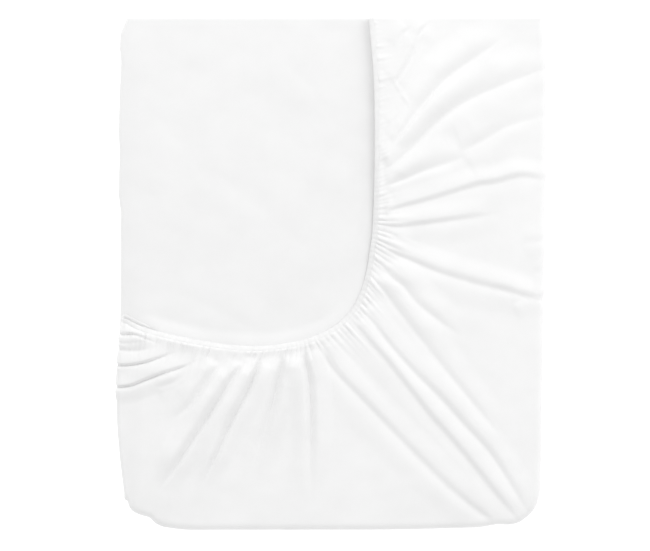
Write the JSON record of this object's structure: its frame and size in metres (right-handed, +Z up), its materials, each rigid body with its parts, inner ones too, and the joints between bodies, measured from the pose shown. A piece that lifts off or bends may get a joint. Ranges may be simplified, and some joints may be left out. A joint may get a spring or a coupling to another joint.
{
  "type": "folded mattress protector",
  "caption": "White fitted mattress protector folded flat into a rectangular packet, its gathered skirt wrapped over the top with an elastic edge curving round a smooth panel",
  "frame": {"origin": "centre of the bounding box on the surface that the packet lies on", "axes": "+Z up from the surface, +Y towards the fold at the packet's top along its longest side, +X to the right with the gathered skirt on the right and bottom"},
  "size_m": [0.8024, 0.9591, 0.0351],
  "materials": {
    "panel_knit": "matt brushed knit, white",
    "skirt_knit": "matt stretch jersey, white",
    "binding_elastic": "soft covered elastic, white"
  },
  "bodies": {
    "root": {"panel": "panel_knit", "skirt": "skirt_knit", "elastic_binding": "binding_elastic"}
  },
  "joints": []
}
